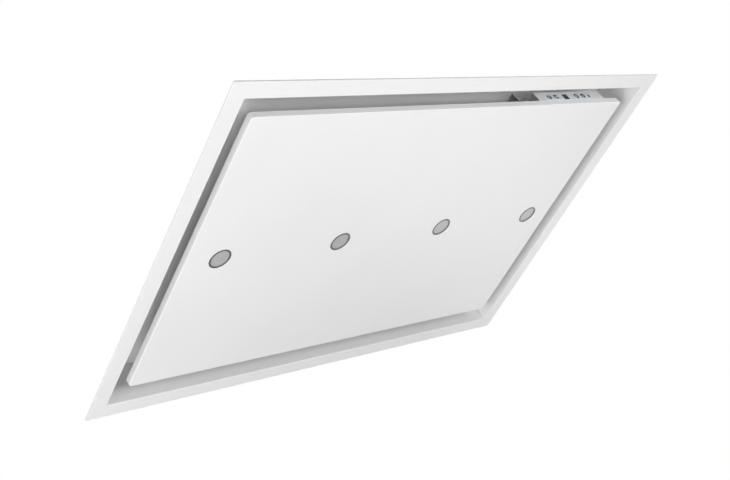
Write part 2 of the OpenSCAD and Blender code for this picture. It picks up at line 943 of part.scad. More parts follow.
// Rubber mounts between the scroll and the lid
module blower_grommets() {
    color("black")
        for (a = [45 : 90 : 315])
            rod_z(blower_x + mount_r * cos(a), blower_y + mount_r * sin(a),
                [scroll_top, case_top], mount_d);
}

// Duct collar on the casing's right wall, with its damper
module at_collar_screws() {
    for (side = [-1, 1], up = [-1, 1])
        translate([casing_l / 2, side * collar_screw, duct_z + up * collar_screw])
            children();
}

module duct_collar() {
    face = casing_l / 2;
    color(steel)
        difference() {
            union() {
                box([face, face + collar_plate_t], about(0, collar_plate), about(duct_z, collar_plate));
                rod_x([face, face + duct_reach], 0, duct_z, collar_d);
            }
            rod_x([face - cut, face + duct_reach + cut], 0, duct_z, collar_bore);
            rod_z(damper_x, 0, about(duct_z, duct_d + cut), damper_pin_d + 2 * pin_clear);
            at_collar_screws()
                rod_x([-cut, cut], 0, 0, screw_hole_d);
        }
}

// One half of the damper, towards +Y with 1 and towards -Y with -1
module damper_flap(side) {
    barrel_l = flap_r * flap_hub_share;
    hub_z = side > 0 ? [duct_z + seat - barrel_l, duct_z - seat] : [duct_z + seat, duct_z - seat + barrel_l];
    near = (damper_barrel_d + flap_t) / 2;
    y = side > 0 ? [near, flap_r] : [-flap_r, -near];
    joint_y = side > 0 ? [0, near + flap_t] : [-near - flap_t, 0];
    color("lightgray")
        difference() {
            union() {
                intersection() {
                    rod_x(about(damper_x, flap_t), 0, duct_z, 2 * flap_r);
                    box(about(damper_x, flap_t), y, about(duct_z, 2 * flap_r));
                }
                box(about(damper_x, flap_t), joint_y, hub_z);
                rod_z(damper_x, 0, hub_z, damper_barrel_d);
            }
            rod_z(damper_x, 0, about(duct_z, 2 * flap_r), damper_pin_d + 2 * pin_clear);
        }
}

module damper_pin() {
    color("gray")
        rod_z(damper_x, 0, about(duct_z, collar_bore + collar_wall), damper_pin_d);
}

// Electronics box on the casing's left wall
module electronics_box() {
    color(steel)
        difference() {
            union() {
                difference() {
                    box([ebox_out, ebox_in], about(0, ebox_l), ebox_z);
                    box([ebox_out - cut, ebox_in - ebox_t], about(0, ebox_l - 2 * ebox_t),
                        [ebox_z[0] + ebox_t, ebox_z[1] - ebox_t]);
                }
                at_standoffs()
                    rod_x([-standoff, 0], 0, 0, standoff_d);
            }
            rod_x([ebox_in - cut, ebox_in + cut], 0, duct_z, wire_hole_d);
            rod_y(gland_x, about(-ebox_l / 2, cut), gland_z, gland_thread_d + 2 * pin_clear);
        }
}

module at_standoffs() {
    for (side = [-1, 1], up = [-1, 1])
        translate([ebox_in - ebox_t, side * ebox_l * standoff_shares[0],
            duct_z + up * ebox_h * standoff_shares[1]])
            children();
}

module electronics_cover() {
    color(steel)
        union() {
            box([ebox_out - ebox_t, ebox_out], about(0, ebox_l), ebox_z);
            for (up = [-1, 1])
                box([ebox_out, ebox_out + cover_lap], about(0, ebox_l - 2 * (ebox_t + seat)),
                    about(duct_z + up * (ebox_h / 2 - ebox_t - seat - ebox_t / 2), ebox_t));
        }
}

// Board with its transformer, relays and terminal block
module power_board() {
    board_x = ebox_in - ebox_t - standoff;
    color("seagreen")
        union() {
            box([board_x - power_t, board_x], about(0, ebox_l * power_shares[0]),
                about(duct_z, ebox_h * power_shares[1]));
            for (part = power_part_shares)
                box([board_x - power_t - part[2] * ebox_depth, board_x],
                    about(part[0] * ebox_l, part[3] * ebox_h),
                    about(duct_z + part[1] * ebox_h, part[4] * ebox_h));
        }
}

// Cable gland in the wall of the electronics box
module cable_gland() {
    wall = -ebox_l / 2;
    color("dimgray")
        difference() {
            union() {
                rod_y(gland_x, [wall - gland_reach, wall], gland_z, gland_d);
                rod_y(gland_x, [wall, wall + ebox_t], gland_z, gland_thread_d);
                rod_y(gland_x, [wall + ebox_t, wall + ebox_t + gland_nut_t], gland_z, gland_d);
            }
            rod_y(gland_x, [wall - gland_reach - cut, wall + ebox_t + gland_nut_t + cut], gland_z, cable_d);
        }
}

// Screws of the plate, the casing and its lid, the hanging brackets and the duct collar
module screws() {
    color("gray") {
        at_lip_screws()
            screw(plate_top, plate_t + collar_t);
        at_foot_screws()
            screw(case_z + casing_t, casing_t + plate_t);
        at_lid_screws()
            screw(case_top + casing_t, 2 * casing_t);
        at_bracket_bolts()
            rotate([-90, 0, 0])
                screw(bracket_t, bracket_t + casing_t);
        at_collar_screws()
            rotate([0, 90, 0])
                screw(collar_plate_t, collar_plate_t + casing_t);
    }
}

trim_frame();
filter_plate();
casing_walls();
casing_top();
suspension_brackets();
filter_frame(filter_places[0]);  // filter_frame_left
filter_frame(filter_places[1]);  // filter_frame_centre
filter_frame(filter_places[2]);  // filter_frame_right
filter_mesh(filter_places[0]);  // filter_mesh_left
filter_mesh(filter_places[1]);  // filter_mesh_centre
filter_mesh(filter_places[2]);  // filter_mesh_right
filter_latch(filter_places[0]);  // filter_latch_left
filter_latch(filter_places[1]);  // filter_latch_centre
filter_latch(filter_places[2]);  // filter_latch_right
control_bracket();
control_housing();
control_fascia();
display_window();
receiver_lens();
push_button(0);  // button_lamp
push_button(1);  // button_slower
push_button(2);  // button_faster
push_button(3);  // button_timer
control_board();
panel_tray();
panel_back();
lamp_bezel(0);  // lamp_bezel_1
lamp_bezel(1);  // lamp_bezel_2
lamp_bezel(2);  // lamp_bezel_3
lamp_bezel(3);  // lamp_bezel_4
lamp_lens(0);  // lamp_lens_1
lamp_lens(1);  // lamp_lens_2
lamp_lens(2);  // lamp_lens_3
lamp_lens(3);  // lamp_lens_4
lamp_bodies();
hinge_leaf(-1);  // hinge_leaf_left
hinge_leaf(1);  // hinge_leaf_right
hinge_bracket(-1);  // hinge_bracket_left
hinge_bracket(1);  // hinge_bracket_right
hinge_pins();
catch_strikers();
catch_body(-1);  // catch_body_left
catch_body(1);  // catch_body_right
catch_plunger(-1);  // catch_plunger_left
catch_plunger(1);  // catch_plunger_right
scroll_housing();
scroll_floor();
impeller();
impeller_cup();
motor();
blower_grommets();
duct_collar();
damper_flap(-1);  // damper_flap_left
damper_flap(1);  // damper_flap_right
damper_pin();
electronics_box();
electronics_cover();
power_board();
cable_gland();
screws();
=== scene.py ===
import json
import math
import bmesh
import bpy
from mathutils import Matrix, Vector


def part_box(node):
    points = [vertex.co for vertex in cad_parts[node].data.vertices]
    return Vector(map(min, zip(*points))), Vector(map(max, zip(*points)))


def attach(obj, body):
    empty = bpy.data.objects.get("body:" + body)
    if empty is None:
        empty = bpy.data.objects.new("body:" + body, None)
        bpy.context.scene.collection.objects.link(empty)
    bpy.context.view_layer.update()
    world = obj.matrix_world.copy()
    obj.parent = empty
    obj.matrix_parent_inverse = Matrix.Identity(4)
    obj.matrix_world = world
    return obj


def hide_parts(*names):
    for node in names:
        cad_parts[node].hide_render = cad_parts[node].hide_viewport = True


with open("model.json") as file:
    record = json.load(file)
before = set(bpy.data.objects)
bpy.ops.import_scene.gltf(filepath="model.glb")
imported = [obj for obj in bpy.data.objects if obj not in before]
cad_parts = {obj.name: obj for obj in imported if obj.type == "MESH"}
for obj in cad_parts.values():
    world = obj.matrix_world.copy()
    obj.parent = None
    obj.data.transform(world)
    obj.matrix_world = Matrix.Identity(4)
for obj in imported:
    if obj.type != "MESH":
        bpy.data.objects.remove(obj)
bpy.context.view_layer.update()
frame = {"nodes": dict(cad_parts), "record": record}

# Sizes of the object are in millimetres, and MM turns them into metres.
# The camera, the lamps, the room and the depths of the bumps are in metres.
MM = 0.001
X, Y, Z = Vector((1, 0, 0)), Vector((0, 1, 0)), Vector((0, 0, 1))
SQUARE = ((1, 1), (-1, 1), (-1, -1), (1, -1))
BOTH = (-1, 1)
SCENE = bpy.context.scene
NODES = frame["nodes"]
RECORD = frame["record"]
SLOT_OF = {part["node"]: part["material_slot"] for part in RECORD["subparts"]}
BODY_OF = {node: body for body, nodes in RECORD["behaviour"]["bodies"].items() for node in nodes}


# The photograph's camera

CAMERA_PLACE = (-1.4506, -1.143, -0.9944)
CAMERA_RIGHT = (0.7053, -0.4296, -0.564)
CAMERA_FORWARD = (0.7009, 0.5422, 0.4635)
LENS, SENSOR, SHIFT_X = 58.32, 36, -0.0615
NEAREST, FARTHEST = 0.01, 60


def set_camera():
    right, forward = Vector(CAMERA_RIGHT).normalized(), Vector(CAMERA_FORWARD).normalized()
    turned = Matrix((right, right.cross(forward), -forward)).transposed()
    data = bpy.data.cameras.new("camera")
    data.lens, data.sensor_width, data.shift_x = LENS, SENSOR, SHIFT_X
    data.clip_start, data.clip_end = NEAREST, FARTHEST
    camera = bpy.data.objects.new("camera", data)
    camera.matrix_world = Matrix.Translation(CAMERA_PLACE) @ turned.to_4x4()
    SCENE.collection.objects.link(camera)
    SCENE.camera = camera


# Light and room

WORLD_FILL = 0.03
FLOOR_Z, FLOOR_FLAT, FLOOR_REACH = -2.4, 3.0, 4.0
FLOOR_SIDES, FLOOR_CURVE_STEPS = 48, 10
FLOOR_DARK, FLOOR_LIGHT, FLOOR_GLOW = 0.86, 0.88, 0.46
FLOOR_ROUGHNESS, FLOOR_CLOUDS = 0.9, 3
CEILING_Z, CEILING_HALF, CEILING_HOLE = 0.0032, 6.0, (0.4875, 0.3375)

# Name, place, target, size and watts
LAMPS = (
    ("front_low", (0.1, -1.335, -1.225), (0, -0.245, 0.075), (1.8, 0.4), 12.4),
    ("left_low", (-1.51, 0.3, -1.22), (-0.396, 0.1, 0.075), (1.2, 0.4), 9.8),
    ("left_side", (-3.2, -0.35, -0.75), (0, 0, 0), (1.6, 1.6), 48),
    ("front_side", (1.3, -2.8, -1.45), (0.3, 0, 0.03), (1.2, 0.8), 19.5),
    ("right_low", (2.3, 1.25, -1.05), (0.3, 0, 0), (0.9, 0.9), 5.6),
    ("soft_top", (0.3, -0.6, 2.4), (0, 0, 0.2), (2.4, 2.4), 25),
    ("soft_back", (-0.4, 3.2, 0.35), (0, 0, 0), (1.8, 1.2), 38),
    ("soft_right", (3.2, -0.6, 0.5), (0, 0, 0), (1.6, 1.2), 17),
)


def grey(level, tint=(1, 1, 1)):
    return tuple(level * t for t in tint)


def area_lamp(name, place, target, size, watts):
    data = bpy.data.lights.new(name, "AREA")
    data.shape = "RECTANGLE"
    data.size, data.size_y = size
    data.energy = watts
    lamp = bpy.data.objects.new(name, data)
    lamp.location = place
    lamp.rotation_euler = (Vector(target) - Vector(place)).to_track_quat("-Z", "Y").to_euler()
    SCENE.collection.objects.link(lamp)


def math_node(nodes, links, operation, first, second):
    """The result of an operation on an output and a second one or a number, clamped if a difference."""
    node = nodes.new("ShaderNodeMath")
    node.operation = operation
    node.use_clamp = operation == "SUBTRACT"
    links.new(first, node.inputs[0])
    if isinstance(second, float):
        node.inputs[1].default_value = second
    else:
        links.new(second, node.inputs[1])
    return node.outputs[0]


def seen_directly(nodes, links):
    """1 on camera, glossy and transmission rays, 0 on the rays that carry light to surfaces."""
    path = nodes.new("ShaderNodeLightPath").outputs
    total = math_node(nodes, links, "MAXIMUM", path["Is Camera Ray"], path["Is Glossy Ray"])
    return math_node(nodes, links, "MAXIMUM", total, path["Is Transmission Ray"])


def set_world(fill):
    """A white background that gives only a little light."""
    world = bpy.data.worlds.new("studio")
    SCENE.world = world
    world.use_nodes = True
    nodes, links = world.node_tree.nodes, world.node_tree.links
    background = nodes["Background"]
    background.inputs["Color"].default_value = (*grey(1), 1)
    level = nodes.new("ShaderNodeMapRange")
    level.inputs["To Min"].default_value = fill
    level.inputs["To Max"].default_value = 1.0
    links.new(seen_directly(nodes, links), level.inputs["Value"])
    links.new(level.outputs["Result"], background.inputs["Strength"])


def node_material(name):
    m = bpy.data.materials.new(name)
    m.use_nodes = True
    return m, m.node_tree.nodes, m.node_tree.links


def clear_shader(nodes):
    return nodes.new("ShaderNodeBsdfTransparent").outputs["BSDF"]


def mixed_surface(nodes, links, share, first, second):
    """The first shader where the share is 0 and the second where it is 1."""
    mix = nodes.new("ShaderNodeMixShader")
    links.new(share, mix.inputs["Fac"])
    links.new(first, mix.inputs[1])
    links.new(second, mix.inputs[2])
    links.new(mix.outputs["Shader"], nodes["Material Output"].inputs["Surface"])


def floor_material():
    """Matt white that looks pale to the camera, keeps its shadows and is clear from behind."""
    m, nodes, links = node_material("floor_white")
    paint = nodes["Principled BSDF"]
    paint.inputs["Roughness"].default_value = FLOOR_ROUGHNESS
    clouds = nodes.new("ShaderNodeTexNoise")
    clouds.inputs["Scale"].default_value = FLOOR_CLOUDS
    ramp = nodes.new("ShaderNodeValToRGB")
    ramp.color_ramp.elements[0].color = (*grey(FLOOR_DARK), 1)
    ramp.color_ramp.elements[1].color = (*grey(FLOOR_LIGHT), 1)
    links.new(clouds.outputs["Fac"], ramp.inputs["Fac"])
    links.new(ramp.outputs["Color"], paint.inputs["Base Color"])
    glow = math_node(nodes, links, "MULTIPLY", seen_directly(nodes, links), FLOOR_GLOW)
    links.new(glow, paint.inputs["Emission Strength"])
    paint.inputs["Emission Color"].default_value = (*grey(1), 1)
    behind = nodes.new("ShaderNodeNewGeometry").outputs["Backfacing"]
    mixed_surface(nodes, links, behind, paint.outputs["BSDF"], clear_shader(nodes))
    return m


def ceiling_material():
    """White to the camera from below, and clear from above and to the light."""
    m, nodes, links = node_material("ceiling_white")
    behind = nodes.new("ShaderNodeNewGeometry").outputs["Backfacing"]
    seen = math_node(nodes, links, "SUBTRACT", seen_directly(nodes, links), behind)
    white = nodes.new("ShaderNodeEmission").outputs["Emission"]
    mixed_surface(nodes, links, seen, clear_shader(nodes), white)
    return m


def stage_piece(name, bm, material, facing):
    """A piece of the room whose front looks up (1) or down (-1)."""
    bmesh.ops.recalc_face_normals(bm, faces=bm.faces)
    data = bpy.data.meshes.new(name)
    bm.to_mesh(data)
    bm.free()
    if data.polygons[0].normal.z * facing < 0:
        data.flip_normals()
    data.shade_smooth()
    data.materials.append(material)
    ob = bpy.data.objects.new(name, data)
    SCENE.collection.objects.link(ob)


def set_floor():
    """A pale floor that curves up at its edge, a room's height below the hood."""
    rings = [(FLOOR_FLAT, FLOOR_Z)]
    for i in range(FLOOR_CURVE_STEPS):
        a = math.radians(90 * i / FLOOR_CURVE_STEPS)
        r = FLOOR_FLAT + FLOOR_REACH * (1 + math.sin(a)) / 2
        rings.append((r, FLOOR_Z + FLOOR_REACH * (1 - math.cos(a)) / 2))
    turns = [math.tau * i / FLOOR_SIDES for i in range(FLOOR_SIDES)]
    bm = bmesh.new()
    loops = [[bm.verts.new((r * math.cos(t), r * math.sin(t), z)) for t in turns] for r, z in rings]
    bm.faces.new(loops[0])
    for low, high in zip(loops, loops[1:]):
        bridge(bm, low, high)
    stage_piece("floor", bm, floor_material(), 1)


def set_ceiling():
    """The ceiling round the hood's collar."""
    hx, hy = CEILING_HOLE
    bm = bmesh.new()
    inner = [bm.verts.new((sx * hx, sy * hy, CEILING_Z)) for sx, sy in SQUARE]
    outer = [bm.verts.new((sx * CEILING_HALF, sy * CEILING_HALF, CEILING_Z)) for sx, sy in SQUARE]
    bridge(bm, inner, outer)
    stage_piece("ceiling", bm, ceiling_material(), -1)


# Materials

SATIN = 0.42
ZINC_METALLIC = 0.9
GRAIN, GRAIN_DEPTH = 1400, 0.00006
COOL = (0.97, 0.99, 1.0)


def new_material(name, roughness, metallic=0.0, coat=0.0):
    m, nodes, _ = node_material(name)
    paint = nodes["Principled BSDF"]
    paint.inputs["Roughness"].default_value = roughness
    paint.inputs["Metallic"].default_value = metallic
    paint.inputs["Coat Weight"].default_value = coat
    return m


def texture(m, kind, scale, stretch=(1, 1, 1)):
    """A procedural texture on the object's own coordinates."""
    nodes, links = m.node_tree.nodes, m.node_tree.links
    coords = nodes.new("ShaderNodeTexCoord")
    mapping = nodes.new("ShaderNodeMapping")
    mapping.inputs["Scale"].default_value = stretch
    links.new(coords.outputs["Object"], mapping.inputs["Vector"])
    t = nodes.new(kind)
    t.inputs["Scale"].default_value = scale
    links.new(mapping.outputs["Vector"], t.inputs["Vector"])
    return t


def noise(m, scale, detail, stretch=(1, 1, 1)):
    t = texture(m, "ShaderNodeTexNoise", scale, stretch)
    t.inputs["Detail"].default_value = detail
    return t.outputs["Fac"]


def colour_from(m, source, dark, light, low=0.3, high=0.7):
    nodes, links = m.node_tree.nodes, m.node_tree.links
    ramp = nodes.new("ShaderNodeValToRGB")
    for stop, place, colour in zip(ramp.color_ramp.elements, (low, high), (dark, light)):
        stop.position = place
        stop.color = (*colour, 1)
    links.new(source, ramp.inputs["Fac"])
    links.new(ramp.outputs["Color"], nodes["Principled BSDF"].inputs["Base Color"])


def roughness_from(m, source, low, high):
    nodes, links = m.node_tree.nodes, m.node_tree.links
    level = nodes.new("ShaderNodeMapRange")
    level.inputs["To Min"].default_value = low
    level.inputs["To Max"].default_value = high
    links.new(source, level.inputs["Value"])
    links.new(level.outputs["Result"], nodes["Principled BSDF"].inputs["Roughness"])


def bump_from(m, source, strength, depth):
    nodes, links = m.node_tree.nodes, m.node_tree.links
    bump = nodes.new("ShaderNodeBump")
    bump.inputs["Strength"].default_value = strength
    bump.inputs["Distance"].default_value = depth
    links.new(source, bump.inputs["Height"])
    links.new(bump.outputs["Normal"], nodes["Principled BSDF"].inputs["Normal"])


def powder_coat(name, dark, light, roughness=SATIN):
    """Satin paint with a fine orange peel."""
    m = new_material(name, roughness)
    clouds = noise(m, scale=6, detail=3)
    colour_from(m, clouds, dark, light)
    peel = noise(m, scale=900, detail=2)
    roughness_from(m, clouds, roughness - 0.04, roughness + 0.05)
    bump_from(m, peel, strength=0.12, depth=0.00004)
    return m


def zinc_sheet(name, dark, light, spangle, roughness):
    """Galvanised sheet: crystals of slightly different brightness and roughness."""
    m = new_material(name, roughness, ZINC_METALLIC)
    crystals = texture(m, "ShaderNodeTexVoronoi", spangle)
    colour_from(m, crystals.outputs["Color"], dark, light, low=0.1, high=0.9)
    roughness_from(m, crystals.outputs["Distance"], roughness - 0.05, roughness + 0.12)
    grain = noise(m, scale=300, detail=3)
    bump_from(m, grain, strength=0.08, depth=0.00005)
    return m


def drawn_metal(name, dark, light, stretch, roughness):
    """Metal with fine lines along one direction."""
    m = new_material(name, roughness, metallic=1.0)
    lines = noise(m, scale=60, detail=4, stretch=stretch)
    colour_from(m, lines, dark, light)
    roughness_from(m, lines, roughness - 0.06, roughness + 0.08)
    bump_from(m, lines, strength=0.1, depth=0.00005)
    return m


def moulded(name, dark, light, roughness, grain=GRAIN, depth=GRAIN_DEPTH, coat=0.0, metallic=0.0):
    """Moulded plastic with an eroded grain."""
    m = new_material(name, roughness, metallic, coat)
    clouds = noise(m, scale=25, detail=2)
    colour_from(m, clouds, dark, light)
    eroded = noise(m, scale=grain, detail=2)
    roughness_from(m, eroded, roughness - 0.05, roughness + 0.06)
    bump_from(m, eroded, strength=0.25, depth=depth)
    return m


# How each finish is made, its dark and light colour, and the rest of what that function takes
FINISHES = {
    "white_paint": (powder_coat, grey(0.88), grey(0.9)),
    "galvanised": (zinc_sheet, grey(0.52, COOL), grey(0.64, COOL), 110, 0.38),
    "bracket_steel": (zinc_sheet, grey(0.5, COOL), grey(0.58, COOL), 260, 0.34),
    "screw_steel": (drawn_metal, grey(0.4, COOL), grey(0.52, COOL), (3, 3, 1), 0.28),
    "filter_rim": (drawn_metal, grey(0.6), grey(0.68), (0.15, 8, 8), 0.3),
    "filter_mesh": (drawn_metal, grey(0.5), grey(0.64), (4, 4, 4), 0.3),
    "latch_plastic": (moulded, grey(0.022), grey(0.03), 0.5),
    # white_plastic gets a dark grey, not white: painted shade, so that the control housing blends into
    # the shade beside the control strip
    "white_plastic": (moulded, grey(0.3, COOL), grey(0.34, COOL), 0.45),
    "fascia": (moulded, (0.83, 0.86, 0.885), (0.85, 0.88, 0.9), 0.25, 500, 0.00001, 0.5),
    "display": (moulded, (0.012, 0.014, 0.06), (0.018, 0.02, 0.08), 0.15, 300, 0.000004, 0.4),
    "receiver": (moulded, (0.06, 0.06, 0.13), (0.08, 0.08, 0.16), 0.15, 300, 0.000004, 1.0),
    "button": (moulded, (0.74, 0.78, 0.82), (0.78, 0.81, 0.84), 0.28, 600, 0.00001, 0.4),
    "circuit_board": (moulded, (0.008, 0.06, 0.025), (0.012, 0.09, 0.035), 0.35, 260, 0.0002),
    # The bezels' metal is made nearly black: painted reflection, standing in for the dark reflections
    # in the lamps' rims
    "bezel": (drawn_metal, grey(0.11), grey(0.16), (3, 3, 1), 0.3),
    "lamp_lens": (moulded, grey(0.4), grey(0.46), 0.4, 900, 0.00003, 0.15),
    "cooler": (moulded, grey(0.03), grey(0.045), SATIN, GRAIN, GRAIN_DEPTH, 0.0, 0.6),
    "grey_plastic": (moulded, grey(0.3), grey(0.34), 0.5),
    "plunger": (moulded, grey(0.55), grey(0.62), 0.4),
    "impeller_plastic": (moulded, grey(0.02), grey(0.028), 0.45),
    "motor_paint": (powder_coat, grey(0.09, COOL), grey(0.11, COOL), 0.4),
    "rubber": (moulded, grey(0.012), grey(0.018), 0.75),
    "duct_plastic": (moulded, grey(0.014), grey(0.02), SATIN),
}
MAT = {slot: make(slot, *values) for slot, (make, *values) in FINISHES.items()}
# The control bracket's grey is painted shade and light: set between white paint and zinc so that its
# face and foot match the shade beside the control strip
BRACKET_SHADE_GREY = powder_coat("bracket_painted_shade", grey(0.62), grey(0.66), 0.5)
PRINT = moulded("dark_print", (0.02, 0.023, 0.055), (0.026, 0.03, 0.065), 0.35)
SEGMENTS = moulded("unlit_segments", (0.03, 0.035, 0.12), (0.035, 0.04, 0.14), 0.2)
COMPONENTS = moulded("components", grey(0.03), grey(0.05), 0.4, 800, 0.00005)

for node, ob in NODES.items():
    ob.data.materials.clear()
    ob.data.materials.append(MAT[SLOT_OF[node]])


# Mesh helpers

# Points closer than this are one, in metres, on the pieces made here and on the CAD meshes
MERGE, CAD_MERGE = 1e-6, 1e-5
SHARP_ANGLE = 30
BEAD_SINK = 0.2
# Insets of a bead's rings, as shares of its half width, with their shares of its height
BEAD_RINGS = ((0.18, 0.45), (0.45, 0.85), (0.75, 1))
# Edges that get a chamfer are longer than this, in millimetres, and sharper, in degrees
CHAMFER_LONGER, CHAMFER_SHARPER = 3, 50
# Edges flatter than this, in degrees, are taken out before
FLAT_ANGLE = 0.5
# The radius with which a turned piece closes on its axis
AXIS_R = 0.01


def piece(name, bm, node, replace=True, material=None, slot=None, angle=SHARP_ANGLE):
    """A finished piece that rides with a CAD node, has its finish and may stand in for it."""
    slot = slot or SLOT_OF[node]
    bmesh.ops.remove_doubles(bm, verts=bm.verts, dist=MERGE)
    bmesh.ops.recalc_face_normals(bm, faces=bm.faces)
    data = bpy.data.meshes.new(name)
    bm.to_mesh(data)
    bm.free()
    data.materials.append(material or MAT[slot])
    data.shade_smooth()
    data.set_sharp_from_angle(angle=math.radians(angle))
    ob = bpy.data.objects.new(name, data)
    SCENE.collection.objects.link(ob)
    ob.modifiers.new("even_normals", "WEIGHTED_NORMAL").keep_sharp = True
    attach(ob, BODY_OF[node])
    if replace:
        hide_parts(node)
    return ob


def node_mm(node):
    """A node's lowest and highest corners and its middle, in millimetres."""
    lo, hi = [Vector(corner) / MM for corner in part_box(node)]
    return lo, hi, (lo + hi) / 2


def bridge(bm, a, b):
    """Faces between two closed rings."""
    for i in range(len(a)):
        j = (i + 1) % len(a)
        bm.faces.new((a[i], a[j], b[j], b[i]))


def join_rings(bm, rings, closed=False, caps=False):
    """Rings joined in turn, the last with the first when closed, or with faces on both ends."""
    for a, b in zip(rings, rings[1:]):
        bridge(bm, a, b)
    if closed:
        bridge(bm, rings[-1], rings[0])
    if caps:
        bm.faces.new(rings[0])
        bm.faces.new(rings[-1])


def rectangle_ring(bm, hx, hy, r, z, steps, mid):
    """Vertices round a rectangle with rounded corners."""
    ring = []
    for k, (sx, sy) in enumerate(SQUARE):
        for i in range(steps + 1):
            a = math.radians(90 * (k + i / steps))
            x = mid[0] + sx * (hx - r) + r * math.cos(a)
            y = mid[1] + sy * (hy - r) + r * math.sin(a)
            ring.append(bm.verts.new((x * MM, y * MM, z * MM)))
    return ring


def loft(bm, sections, steps, closed=False, mid=(0, 0), caps=False):
    """Sections (half x, half y, corner radius, z) joined in turn."""
    rings = [rectangle_ring(bm, hx, hy, r, z, steps, mid) for hx, hy, r, z in sections]
    join_rings(bm, rings, closed, caps)
    return rings


def reach_of(r, a, sides):
    """Distance to the outline of a many-sided bar at an angle, or of a round one with no sides."""
    if not sides:
        return r
    half = math.pi / sides
    return r * math.cos(half) / math.cos((a + half) % (2 * half) - half)


def turn(bm, profile, place, steps, axis=Z, closed=False):
    """Turns (radius, height) or (radius, height, sides) about an axis through a place."""
    turned = axis.to_track_quat("Z", "Y").to_matrix()
    rings = []
    for r, h, *sides in profile:
        ring = []
        for i in range(steps):
            a = math.tau * i / steps
            reach = reach_of(r, a, sides[0] if sides else 0)
            point = turned @ Vector((reach * math.cos(a), reach * math.sin(a), h))
            ring.append(bm.verts.new((Vector(place) + point) * MM))
        rings.append(ring)
    join_rings(bm, rings, closed, caps=not closed)


def arc(mid, r, start, end, steps):
    """Points on an arc, in degrees."""
    angles = [math.radians(start + (end - start) * i / steps) for i in range(steps + 1)]
    return [(mid[0] + r * math.cos(a), mid[1] + r * math.sin(a)) for a in angles]


def frame_at(place, along, out):
    """A frame at a place, with its X along and its Z out of a face."""
    turned = Matrix((along, out.cross(along), out)).transposed()
    return Matrix.Translation(Vector(place) * MM) @ turned.to_4x4()


def bead(bm, place, along, out, length, width, height):
    """A pressed bead with round ends that stands a little out of a face."""
    hx, hy = length / 2, width / 2
    sections = [(hx, hy, hy, -BEAD_SINK), (hx, hy, hy, 0)]
    for share, rise in BEAD_RINGS:
        inset = share * hy
        sections.append((hx - inset, hy - inset, hy - inset, rise * height))
    verts = [v for ring in loft(bm, sections, steps=8, caps=True) for v in ring]
    bmesh.ops.transform(bm, matrix=frame_at(place, along, out), verts=verts)


def solids_of(node):
    """The corner boxes and the points of a node's separate solids, in millimetres."""
    bm = bmesh.new()
    bm.from_mesh(NODES[node].data)
    bmesh.ops.remove_doubles(bm, verts=bm.verts, dist=MERGE)
    seen = set()
    solids = []
    for first in bm.verts:
        if first.index in seen:
            continue
        seen.add(first.index)
        reached = [first]
        for v in reached:
            for edge in v.link_edges:
                other = edge.other_vert(v)
                if other.index not in seen:
                    seen.add(other.index)
                    reached.append(other)
        points = [v.co / MM for v in reached]
        lo = Vector([min(p[k] for p in points) for k in range(3)])
        hi = Vector([max(p[k] for p in points) for k in range(3)])
        solids.append((lo, hi, points))
    bm.free()
    return solids


def dressed(node, edge, slot=None, material=None):
    """The CAD node with a small chamfer on its longer edges."""
    bm = bmesh.new()
    bm.from_mesh(NODES[node].data)
    bmesh.ops.remove_doubles(bm, verts=bm.verts, dist=CAD_MERGE)
    flat, sharp = math.radians(FLAT_ANGLE), math.radians(CHAMFER_SHARPER)
    bmesh.ops.dissolve_limit(bm, angle_limit=flat, verts=bm.verts, edges=bm.edges)
    edges = [e for e in bm.edges if len(e.link_faces) == 2
             and e.calc_face_angle() > sharp and e.calc_length() > CHAMFER_LONGER * MM]
    bmesh.ops.bevel(bm, geom=edges, offset=edge * MM, segments=1, affect="EDGES", clamp_overlap=False)
    return piece(node + "_dressed", bm, node, slot=slot, material=material)


# Trim frame

FLANGE_W, FLANGE_T, FLANGE_ROUND = 30, 3, 0.6
COLLAR_T, COLLAR_LIP = 1.5, 14
FOLD = 1.2
# The frame's corner radius at the collar, and its growth with the distance from it
CORNER_R, CORNER_GROWTH = 1.5, 0.05


def trim_frame():
    hi = node_mm("trim_frame")[1]
    ox, oy, top = hi.x - FLANGE_W, hi.y - FLANGE_W, hi.z
    edge, low = FLANGE_W - FLANGE_ROUND, COLLAR_T + FOLD
    profile = arc((FOLD, FOLD), FOLD, 180, 270, steps=4)
    profile += arc((edge, FLANGE_ROUND), FLANGE_ROUND, 270, 360, steps=2)
    profile += arc((edge, FLANGE_T - FLANGE_ROUND), FLANGE_ROUND, 0, 90, steps=2)
    profile += arc((low, FLANGE_T + FOLD), FOLD, 270, 180, steps=3)
    profile += arc((low, top - COLLAR_T - FOLD), FOLD, 180, 90, steps=3)
    profile += [(COLLAR_T + COLLAR_LIP, top - COLLAR_T), (COLLAR_T + COLLAR_LIP, top)]
    profile += arc((2 * FOLD, top - 2 * FOLD), 2 * FOLD, 90, 180, steps=3)
    sections = [(ox + d, oy + d, CORNER_R + CORNER_GROWTH * d, z) for d, z in profile]
    bm = bmesh.new()
    loft(bm, sections, steps=4, closed=True)
    piece("trim_frame_folded", bm, "trim_frame")


# Panel

TRAY_T, TRAY_BEND, TRAY_CORNER, TRAY_RIM = 1.2, 1.5, 7, 0.25
TRAY_CORNER_STEPS, TRAY_BEND_STEPS = 8, 6
LAMP_NUMBERS = (1, 2, 3, 4)
LAMP_HOLE_R, LAMP_HOLE_STEPS = 19, 64
# The back's beads: places as shares of its half depth, length as a share of its half length
BACK_BEADS, BACK_BEAD_L, BACK_BEAD_W, BACK_BEAD_H = (0.3, 0.48), 1.35, 12, 1


def loop_edges(bm, ring):
    """The edges round a ring of vertices, found or made."""
    return [bm.edges.get(pair) or bm.edges.new(pair) for pair in zip(ring, ring[1:] + ring[:1])]


